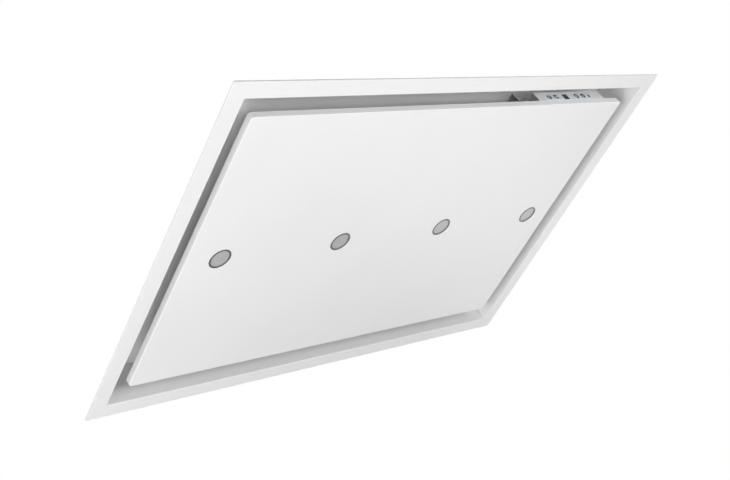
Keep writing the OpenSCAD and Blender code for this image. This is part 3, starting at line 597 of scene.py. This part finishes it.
def sheet_with_lamp_holes(bm, outer, z):
    """Fills a ring of vertices at one height, with a round hole at each lamp."""
    edges = loop_edges(bm, outer)
    holes = []
    for number in LAMP_NUMBERS:
        mid = node_mm("lamp_bezel_%d" % number)[2]
        rim = arc((mid.x, mid.y), LAMP_HOLE_R, 0, 360, LAMP_HOLE_STEPS)[:-1]
        holes.append([bm.verts.new(Vector((x, y, z)) * MM) for x, y in rim])
        edges += loop_edges(bm, holes[-1])
    bmesh.ops.triangle_fill(bm, use_beauty=True, use_dissolve=False, edges=edges)
    return holes


def tray_section(hx, hy, z, inset, bend):
    """Sections round a bend, from the face to the upright side."""
    sections = []
    for k in range(TRAY_BEND_STEPS + 1):
        a = math.radians(90 * k / TRAY_BEND_STEPS)
        off = inset + bend * (1 - math.sin(a))
        sections.append((hx - off, hy - off, TRAY_CORNER - off, z + bend * (1 - math.cos(a))))
    return sections


def panel_tray():
    lo, hi, _ = node_mm("panel_tray")
    low_rim = hi.z - TRAY_RIM
    outside = tray_section(hi.x, hi.y, lo.z, 0, TRAY_BEND)
    inside = tray_section(hi.x, hi.y, lo.z + TRAY_T, TRAY_T, TRAY_BEND - TRAY_T)
    rim = ((0, low_rim), (TRAY_RIM, hi.z), (TRAY_T - TRAY_RIM, hi.z), (TRAY_T, low_rim))
    sections = outside + [(hi.x - off, hi.y - off, TRAY_CORNER - off, z) for off, z in rim]
    bm = bmesh.new()
    rings = loft(bm, sections + inside[::-1], TRAY_CORNER_STEPS)
    front = sheet_with_lamp_holes(bm, rings[0], lo.z)
    back = sheet_with_lamp_holes(bm, rings[-1], lo.z + TRAY_T)
    for a, b in zip(front, back):
        bridge(bm, a, b)
    piece("panel_tray_folded", bm, "panel_tray")


def panel_back_beads():
    hi = node_mm("panel_back")[1]
    bm = bmesh.new()
    for side in BOTH:
        for share in BACK_BEADS:
            place = (0, side * share * hi.y, hi.z)
            bead(bm, place, X, Z, BACK_BEAD_L * hi.x, BACK_BEAD_W, BACK_BEAD_H)
    piece("panel_back_beads", bm, "panel_back", replace=False, slot="white_paint")


# Lamps

BEZEL_R, BEZEL_BORE, BARREL_R, LENS_R, LENS_FIT = 20, 17, 18.75, 17.5, 0.1
BEZEL_PROUD, LENS_UP = 0.8, 0.5
# Radii of the lens's fine rings, and the heights that they run between
LENS_RINGS, LENS_RING_LOW, LENS_RING_HIGH = range(1, 17), 0.22, 0.35


def lamp_bezel(node):
    lo, hi, mid = node_mm(node)
    face = lo.z + BEZEL_PROUD
    seat = face + LENS_UP
    bore = LENS_R + LENS_FIT
    profile = [(BEZEL_BORE, seat), (BEZEL_BORE, lo.z + 0.5), (BEZEL_BORE + 0.25, lo.z + 0.15),
               (BEZEL_BORE + 0.7, lo.z), (BEZEL_R - 0.9, lo.z + 0.04), (BEZEL_R - 0.35, lo.z + 0.25),
               (BEZEL_R - 0.05, lo.z + 0.6), (BEZEL_R, face), (BARREL_R, face),
               (BARREL_R, hi.z - 0.5), (BARREL_R - 0.4, hi.z), (bore, hi.z), (bore, seat)]
    bm = bmesh.new()
    turn(bm, profile, (mid.x, mid.y, 0), steps=96, closed=True)
    piece(node + "_turned", bm, node)


def lamp_lens(node):
    """A frosted lens with fine rings that scatter the light."""
    lo, hi, mid = node_mm(node)
    profile = [(AXIS_R, lo.z + LENS_RING_HIGH)]
    for r in LENS_RINGS:
        profile += [(r - 0.5, lo.z + LENS_RING_LOW), (r, lo.z + LENS_RING_HIGH)]
    profile += [(16.7, lo.z + 0.1), (LENS_R - 0.3, lo.z), (LENS_R, lo.z + 0.3),
                (LENS_R, hi.z - 0.2), (LENS_R - 0.2, hi.z)]
    bm = bmesh.new()
    turn(bm, profile, (mid.x, mid.y, 0), steps=72)
    piece(node + "_ribbed", bm, node, angle=60)


# Control strip

BUTTON_R, BUTTON_RIM_R, STEM_R = 6, 6.6, 1.5
RIM_BACK, RIM_T = 2.05, 0.8
# Printed marks stand this far out of the surface and reach this far into it
MARK_T, MARK_SINK, MARK_STEPS = 0.05, 0.12, 28
# Marks on the buttons: inner and outer radius, and start and end in degrees
RING, FULL = (2.6, 5.75), (0, 360)
SMALL_DOT, LARGE_DOT = (0.05, 0.8, *FULL), (0.05, 1.1, *FULL)
BUTTON_MARKS = {
    "button_lamp": [(*RING, 110, 430), LARGE_DOT],
    "button_slower": [(*RING, 20, 340), SMALL_DOT],
    "button_faster": [(*RING, *FULL), SMALL_DOT],
    "button_timer": [(*RING, *FULL), LARGE_DOT],
}
# Bars of a seven-segment digit: place in half and whole bars, and whether the bar lies flat
DIGIT_BARS = [(0, -1, True), (0, 0, True), (0, 1, True),
              (-1, -0.5, False), (1, -0.5, False), (-1, 0.5, False), (1, 0.5, False)]
DIGIT_BAR_L, DIGIT_BAR_T, DIGIT_BAR_CORNER, DIGIT_SINK = 3.2, 0.55, 0.2, 0.1
# Distance of each digit from the window's middle
DIGIT_SPACE = 3.1
WINDOW_CORNER, WINDOW_EDGE = 0.4, 0.25


def mark(bm, inner, outer, start, end, place):
    """A printed arc between two radii, in degrees."""
    rows = []
    for r, h in ((inner, -MARK_SINK), (inner, MARK_T), (outer, MARK_T), (outer, -MARK_SINK)):
        points = arc((0, 0), r, start, end, MARK_STEPS)
        rows.append([bm.verts.new(Vector((x, y, h)) * MM) for x, y in points])
    for a, b in zip(rows, rows[1:]):
        for i in range(MARK_STEPS):
            bm.faces.new((a[i], a[i + 1], b[i + 1], b[i]))
    bmesh.ops.transform(bm, matrix=place, verts=[v for row in rows for v in row])


def button(node, marks):
    lo, hi, mid = node_mm(node)
    cap = hi.y - lo.y
    rim = cap - RIM_BACK
    profile = [(STEM_R - 0.3, 0), (STEM_R, 0.3), (STEM_R, rim - RIM_T), (BUTTON_RIM_R, rim - RIM_T),
               (BUTTON_RIM_R, rim), (BUTTON_R, rim), (BUTTON_R, cap - 0.5),
               (BUTTON_R - 0.15, cap - 0.15), (BUTTON_R - 0.5, cap), (BUTTON_R - 0.9, cap - 0.02),
               (AXIS_R, cap - 0.1)]
    bm = bmesh.new()
    turn(bm, profile, (mid.x, hi.y, mid.z), steps=48, axis=-Y)
    piece(node + "_turned", bm, node)
    bm = bmesh.new()
    for values in marks:
        mark(bm, *values, frame_at((mid.x, lo.y, mid.z), X, -Y))
    piece(node + "_mark", bm, node, replace=False, material=PRINT)


def display():
    """A small window with two unlit digits printed on it."""
    lo, hi, mid = node_mm("display_window")
    half, depth = (hi.x - lo.x) / 2, hi.y - lo.y
    front = half - WINDOW_EDGE
    sections = [(half, half, WINDOW_CORNER, -depth), (half, half, WINDOW_CORNER, -WINDOW_EDGE),
                (front, front, 0.3, 0)]
    place = frame_at((mid.x, lo.y, mid.z), X, -Y)
    bm = bmesh.new()
    loft(bm, sections, steps=3, caps=True)
    bmesh.ops.transform(bm, matrix=place, verts=bm.verts)
    piece("display_window_polished", bm, "display_window")
    half_l, half_t = DIGIT_BAR_L / 2, DIGIT_BAR_T / 2
    bm = bmesh.new()
    for side in BOTH:
        for x, y, lies in DIGIT_BARS:
            hx, hy = (half_l, half_t) if lies else (half_t, half_l)
            sections = [(hx, hy, DIGIT_BAR_CORNER, z) for z in (-DIGIT_SINK, MARK_T)]
            middle = (side * DIGIT_SPACE + x * half_l, y * DIGIT_BAR_L)
            loft(bm, sections, steps=2, mid=middle, caps=True)
    bmesh.ops.transform(bm, matrix=place, verts=bm.verts)
    piece("display_segments", bm, "display_window", replace=False, material=SEGMENTS)


def receiver():
    lo, hi, mid = node_mm("receiver_lens")
    r, top = (hi.x - lo.x) / 2, hi.y - lo.y
    profile = [(r, 0), (r, top - 0.5), (r - 0.3, top - 0.2), (r - 0.9, top - 0.04), (AXIS_R, top)]
    bm = bmesh.new()
    turn(bm, profile, (mid.x, hi.y, mid.z), steps=40, axis=-Y)
    piece("receiver_lens_domed", bm, "receiver_lens")


# Filters

WIRE_PITCH, WIRE = 9, 0.9
# Depths of the wires' middle and of the pad behind them, in widths of a wire
WIRE_DEPTH, PAD_DEPTH = 1.2, 3


def wire(bm, points, across):
    """A square wire through points, its sides across and up."""
    sides = [across * sx * WIRE / 2 + Z * sy * WIRE / 2 for sx, sy in SQUARE]
    rings = [[bm.verts.new((p + s) * MM) for s in sides] for p in points]
    join_rings(bm, rings, caps=True)


def filter_mesh(node):
    """Woven wire on both faces of a denser pad."""
    lo, hi, mid = node_mm(node)
    size = hi - lo
    pad = PAD_DEPTH * WIRE
    bm = bmesh.new()
    sections = [(size.x / 2, size.y / 2, 1, z) for z in (lo.z + pad, hi.z - pad)]
    loft(bm, sections, steps=2, mid=(mid.x, mid.y), caps=True)
    for along, across in ((0, 1), (1, 0)):
        count = round(size[across] / WIRE_PITCH)
        cells = round(size[along] / WIRE_PITCH)
        for face in (lo.z + WIRE_DEPTH * WIRE, hi.z - WIRE_DEPTH * WIRE):
            for k in range(count):
                points = []
                for j in range(cells + 1):
                    point = Vector((0, 0, face))
                    point[across] = lo[across] + size[across] * (k + 0.5) / count
                    point[along] = lo[along] + size[along] * j / cells
                    point.z += (1 if (j + k + along) % 2 else -1) * WIRE / 2
                    points.append(point)
                wire(bm, points, (X, Y)[across])
    piece(node + "_woven", bm, node)


# Fasteners

HEX_R, HEX_SIDES, SHANK_R = 3.1, 6, 2
SCREW_TIP_R, SCREW_TIP_L, SCREW_FLANGE_T = 0.5, 1.2, 0.6
COVER_HEAD_R, COVER_HEAD_H, COVER_SCREW_DEPTH = 3.4, 1.6, 3
# Places of the cover's screws, as shares of its width and height from its middle
COVER_SHARES = (0.44, 0.42)
PIN_R, PIN_HEAD_T = 3, 1.5


def screw(bm, place, axis, length, head_r, head_h):
    """A hexagon screw with a flange, its tip at the start of the axis."""
    seat = length - head_h
    face = seat + SCREW_FLANGE_T
    profile = [(SCREW_TIP_R, 0), (SHANK_R, SCREW_TIP_L), (SHANK_R, seat), (head_r, seat),
               (head_r, seat + SCREW_FLANGE_T / 2), (head_r - 0.4, face), (HEX_R, face, HEX_SIDES),
               (HEX_R, length - 0.4, HEX_SIDES), (HEX_R - 0.6, length)]
    turn(bm, profile, place, steps=18, axis=axis)


def screws():
    """A detailed screw for each of the plain ones, whose axis and head are found from its points."""
    bm = bmesh.new()
    for lo, hi, points in solids_of("screws"):
        size, mid = hi - lo, (lo + hi) / 2
        k = min(range(3), key=lambda i: abs(size[(i + 1) % 3] - size[(i + 2) % 3]))
        head_r = size[(k + 1) % 3] / 2
        axis = (X, Y, Z)[k]
        far = (head_r + SHANK_R) / 2
        heads = [p[k] for p in points if (p - mid - axis * (p[k] - mid[k])).length > far]
        up = 1 if max(heads) > hi[k] - 0.1 else -1
        place = mid.copy()
        place[k] = lo[k] if up > 0 else hi[k]
        screw(bm, place, axis * up, size[k], head_r, max(heads) - min(heads))
    piece("screws_hexagon", bm, "screws")


def cover_screws():
    lo, hi, mid = node_mm("electronics_cover")
    size = hi - lo
    length = size.x - COVER_SCREW_DEPTH + COVER_HEAD_H
    share_y, share_z = COVER_SHARES
    bm = bmesh.new()
    for sy, sz in SQUARE:
        place = (hi.x - COVER_SCREW_DEPTH, mid.y + sy * share_y * size.y, mid.z + sz * share_z * size.z)
        screw(bm, place, -X, length, COVER_HEAD_R, COVER_HEAD_H)
    piece("cover_screws", bm, "screws", replace=False)


def hinge_pins():
    bm = bmesh.new()
    for lo, hi, _ in solids_of("hinge_pins"):
        mid = (lo + hi) / 2
        r, length = (hi.z - lo.z) / 2, hi.x - lo.x
        head = length - PIN_HEAD_T
        profile = [(r - 0.4, 0), (r, 0.4), (r, PIN_HEAD_T), (PIN_R, PIN_HEAD_T), (PIN_R, head),
                   (r, head), (r, length - 0.4), (r - 0.4, length)]
        turn(bm, profile, (lo.x, mid.y, mid.z), steps=32, axis=X)
    piece("hinge_pins_turned", bm, "hinge_pins")


# Blower, motor and duct

MOTOR_R, MOTOR_FLANGE_R, MOTOR_FLANGE_T, MOTOR_L = 45, 52, 3, 66
SHAFT_R, BOSS_R, BOSS_T = 4, 12, 3
# Starts of the grooves in the motor's case, from its seam
MOTOR_GROOVES = (-14, 12)
GROOVE_W, GROOVE_DEPTH, GROOVE_SLOPE = 2, 1, 0.4
BLADE_W, BLADE_T, BLADE_STEPS, BLADES, DISC_T = 20, 1, 6, 36, 1.5
# The angle that a blade sweeps forward, in radians, and its distance from the ring's edges
BLADE_SWEEP, BLADE_INSET = 0.17, 1
CUP_BEND, CUP_BORE, HUB_R, HUB_H = 5, 4.05, 10, 14
GROMMET_WAIST, GROMMET_RIM, GROMMET_ROUND = 0.72, 5, 0.6
DUCT_R = 74.5
# Distances of the duct's beads from its end
DUCT_BEADS = (8, 26)
# A bead's section: height on the duct's wall and place along it
DUCT_BEAD_SECTION = ((-0.3, -2.4), (0.5, -1.6), (1.1, -0.6), (1.1, 0.6), (0.5, 1.6), (-0.3, 2.4))


def motor():
    lo, hi, mid = node_mm("motor")
    low, seam = hi.z - MOTOR_L, hi.z - MOTOR_L / 2
    boss, rim, inner = low - BOSS_T, hi.z - MOTOR_FLANGE_T, MOTOR_R - GROOVE_DEPTH
    profile = [(SHAFT_R - 0.5, lo.z), (SHAFT_R, lo.z + 0.5), (SHAFT_R, boss), (BOSS_R - 1, boss),
               (BOSS_R, boss + 1), (BOSS_R, low), (MOTOR_R - 2, low), (MOTOR_R - 0.5, low + 0.6),
               (MOTOR_R, low + 2.2)]
    for start in [seam + rise for rise in MOTOR_GROOVES]:
        end = start + GROOVE_W
        profile += [(MOTOR_R, start), (inner, start + GROOVE_SLOPE), (inner, end - GROOVE_SLOPE),
                    (MOTOR_R, end)]
    profile += [(MOTOR_R, rim), (MOTOR_FLANGE_R - 0.5, rim), (MOTOR_FLANGE_R, rim + 0.5),
                (MOTOR_FLANGE_R, hi.z)]
    bm = bmesh.new()
    turn(bm, profile, (mid.x, mid.y, 0), steps=64)
    piece("motor_turned", bm, "motor")


def blade(bm, mid, r, turned, heights):
    """A curved blade whose inner end is at an angle round the wheel."""
    rows = []
    for z in heights:
        line = []
        for side in (1, -1):
            points = []
            for i in range(BLADE_STEPS + 1):
                share = i / BLADE_STEPS
                reach = r - BLADE_W + BLADE_INSET + (BLADE_W - 2 * BLADE_INSET) * share
                a = turned + BLADE_SWEEP * share ** 2 + side * BLADE_T / 2 / reach
                x, y = mid.x + reach * math.cos(a), mid.y + reach * math.sin(a)
                points.append(bm.verts.new(Vector((x, y, z)) * MM))
            line += points[::side]
        rows.append(line)
    join_rings(bm, rows, caps=True)


def impeller():
    """Foot ring, disc and forward-curved blades."""
    lo, hi, mid = node_mm("impeller")
    cup_lo, cup_hi, _ = node_mm("impeller_cup")
    r, cup_r, edge = (hi.x - lo.x) / 2, (cup_hi.x - cup_lo.x) / 2, 0.4
    bm = bmesh.new()
    for inner, z in ((r - BLADE_W, lo.z), (cup_r, hi.z - DISC_T)):
        top = z + DISC_T
        profile = [(inner, z), (r - edge, z), (r, z + edge), (r, top - edge), (r - edge, top),
                   (inner, top)]
        turn(bm, profile, (mid.x, mid.y, 0), steps=96, closed=True)
    heights = (lo.z + DISC_T / 2, hi.z - DISC_T / 2)
    for k in range(BLADES):
        blade(bm, mid, r, math.tau * k / BLADES, heights)
    piece("impeller_wheel", bm, "impeller")


def impeller_cup():
    lo, hi, mid = node_mm("impeller_cup")
    r = (hi.x - lo.x) / 2
    middle = (r - CUP_BEND, lo.z + CUP_BEND)
    profile = [(CUP_BORE, lo.z)]
    profile += arc(middle, CUP_BEND, 270, 360, steps=5)
    profile += [(r, hi.z), (r - DISC_T, hi.z)]
    profile += arc(middle, CUP_BEND - DISC_T, 360, 270, steps=5)
    profile += [(HUB_R + 1, lo.z + DISC_T), (HUB_R, lo.z + DISC_T + 1), (HUB_R - 0.5, lo.z + HUB_H),
                (CUP_BORE, lo.z + HUB_H)]
    bm = bmesh.new()
    turn(bm, profile, (mid.x, mid.y, 0), steps=72, closed=True)
    piece("impeller_cup_moulded", bm, "impeller_cup")


def blower_grommets():
    bm = bmesh.new()
    for lo, hi, _ in solids_of("blower_grommets"):
        mid = (lo + hi) / 2
        r = (hi.x - lo.x) / 2
        edge, waist = r - GROMMET_ROUND, r * GROMMET_WAIST
        low, high = lo.z + GROMMET_RIM, hi.z - GROMMET_RIM
        profile = [(edge, lo.z), (r, lo.z + GROMMET_ROUND), (r, low - GROMMET_ROUND), (edge, low),
                   (waist, low + 1), (waist, high - 1), (edge, high), (r, high + GROMMET_ROUND),
                   (r, hi.z - GROMMET_ROUND), (edge, hi.z)]
        turn(bm, profile, (mid.x, mid.y, 0), steps=32)
    piece("blower_grommets_moulded", bm, "blower_grommets")


def duct_beads():
    """Two pressed rings that hold the duct's clamp."""
    _, hi, mid = node_mm("duct_collar")
    bm = bmesh.new()
    for inset in DUCT_BEADS:
        profile = [(DUCT_R + rise, hi.x - inset + along) for rise, along in DUCT_BEAD_SECTION]
        turn(bm, profile, (0, mid.y, mid.z), steps=96, axis=X, closed=True)
    piece("duct_beads", bm, "duct_collar", replace=False)


def damper_pin():
    lo, hi, mid = node_mm("damper_pin")
    r = (hi.x - lo.x) / 2
    profile = [(r - 0.4, lo.z), (r, lo.z + 0.5), (r, hi.z - 0.5), (r - 0.4, hi.z)]
    bm = bmesh.new()
    turn(bm, profile, (mid.x, mid.y, 0), steps=24)
    piece("damper_pin_turned", bm, "damper_pin")


# Casing and electronics

# The casing's beads: places as shares of its height, length as a share of its half length
CASING_BEADS, CASING_BEAD_L, CASING_BEAD_W, CASING_BEAD_H = (0.3, 0.62), 1.2, 14, 1.2
LOUVRE_L, LOUVRE_W, LOUVRE_H = 58, 6, 1.4
LOUVRE_ROWS, LOUVRE_PITCH, LOUVRE_OFF = (-2, -1, 0, 1, 2), 12, 42
GLAND_BORE, GLAND_THREAD_R, GLAND_L = 4.1, 6, 26.5
BOARD_T, LACQUER_T, BOARD_EDGE = 1.6, 0.3, 0.25


def casing_beads():
    lo, hi, _ = node_mm("casing_walls")
    lid = node_mm("casing_top")[1]
    bm = bmesh.new()
    for side in BOTH:
        for share in CASING_BEADS:
            place = (0, side * lid.y, lo.z + share * (hi.z - lo.z))
            bead(bm, place, X, side * Y, CASING_BEAD_L * lid.x, CASING_BEAD_W, CASING_BEAD_H)
    piece("casing_beads", bm, "casing_walls", replace=False)


def cover_louvres():
    lo, _, mid = node_mm("electronics_cover")
    bm = bmesh.new()
    for row in LOUVRE_ROWS:
        for side in BOTH:
            place = (lo.x, mid.y + side * LOUVRE_OFF, mid.z + row * LOUVRE_PITCH)
            bead(bm, place, Y, -X, LOUVRE_L, LOUVRE_W, LOUVRE_H)
    piece("cover_louvres", bm, "electronics_cover", replace=False)


def cable_gland():
    """Clamping nut, body and lock nut."""
    lo, hi, mid = node_mm("cable_gland")
    r = (hi.x - lo.x) / 2
    edge, throat, nut = r * 0.92, r * 0.85, HEX_SIDES
    profile = [(GLAND_BORE, 0), (r * 0.62, 0), (r * 0.8, 0.8), (edge, 3), (edge, 6),
               (r, 6.4, nut), (r, 11, nut), (throat, 11.4), (throat, 12.6), (r, 13, nut),
               (r, 17.5, nut), (r * 0.9, 18), (GLAND_THREAD_R, 18), (GLAND_THREAD_R, 19.5),
               (edge, 19.5, nut), (r, 20, nut), (r, 26, nut), (edge, GLAND_L, nut),
               (GLAND_BORE, GLAND_L)]
    bm = bmesh.new()
    turn(bm, profile, (mid.x, lo.y, mid.z), steps=36, axis=Y, closed=True)
    piece("cable_gland_ribbed", bm, "cable_gland")


def circuit_board(node, axis):
    """A board with its front and components in lacquer, its edges and back in dark plastic."""
    face = node_mm(node)[1][axis] - BOARD_T
    ob = dressed(node, BOARD_EDGE)
    ob.data.materials.append(COMPONENTS)
    for polygon in ob.data.polygons:
        if polygon.center[axis] / MM > face + LACQUER_T:
            polygon.material_index = 1


# Catches

def catch_plunger(node):
    lo, hi, mid = node_mm(node)
    r = (hi.x - lo.x) / 2
    profile = [(r - 1.6, lo.z), (r - 0.6, lo.z + 0.3), (r - 0.1, lo.z + 1), (r, lo.z + 1.8),
               (r, hi.z - 0.4), (r - 0.4, hi.z)]
    bm = bmesh.new()
    turn(bm, profile, (mid.x, mid.y, 0), steps=40)
    piece(node + "_turned", bm, node)


# Making

CHAMFERS = {
    "filter_plate": 0.3, "casing_walls": 0.35, "casing_top": 0.5, "suspension_brackets": 0.5,
    "filter_frame_left": 0.8, "filter_frame_centre": 0.8, "filter_frame_right": 0.8,
    "filter_latch_left": 0.4, "filter_latch_centre": 0.4, "filter_latch_right": 0.4,
    "control_housing": 0.35, "control_fascia": 0.35,
    "lamp_bodies": 0.4, "hinge_leaf_left": 0.4, "hinge_leaf_right": 0.4,
    "hinge_bracket_left": 0.4, "hinge_bracket_right": 0.4, "catch_strikers": 0.3,
    "catch_body_left": 1, "catch_body_right": 1, "scroll_housing": 0.3, "scroll_floor": 0.3,
    "duct_collar": 0.4, "damper_flap_left": 0.3, "damper_flap_right": 0.3,
    "electronics_box": 0.4, "electronics_cover": 0.4,
}

SCENE.view_settings.view_transform = "Standard"
set_camera()
set_world(WORLD_FILL)
set_floor()
set_ceiling()
for values in LAMPS:
    area_lamp(*values)

for node, edge in CHAMFERS.items():
    dressed(node, edge)
dressed("panel_back", 0.25, slot="white_paint")
# Painted shade: the control bracket gets a grey in place of its own finish
dressed("control_bracket", 0.3, material=BRACKET_SHADE_GREY)
trim_frame()
panel_tray()
panel_back_beads()
for number in LAMP_NUMBERS:
    lamp_bezel("lamp_bezel_%d" % number)
    lamp_lens("lamp_lens_%d" % number)
for node, marks in BUTTON_MARKS.items():
    button(node, marks)
display()
receiver()
for side in ("left", "centre", "right"):
    filter_mesh("filter_mesh_" + side)
for side in ("left", "right"):
    catch_plunger("catch_plunger_" + side)
screws()
cover_screws()
hinge_pins()
motor()
impeller()
impeller_cup()
blower_grommets()
duct_beads()
damper_pin()
casing_beads()
cover_louvres()
cable_gland()
circuit_board("power_board", 0)
circuit_board("control_board", 1)
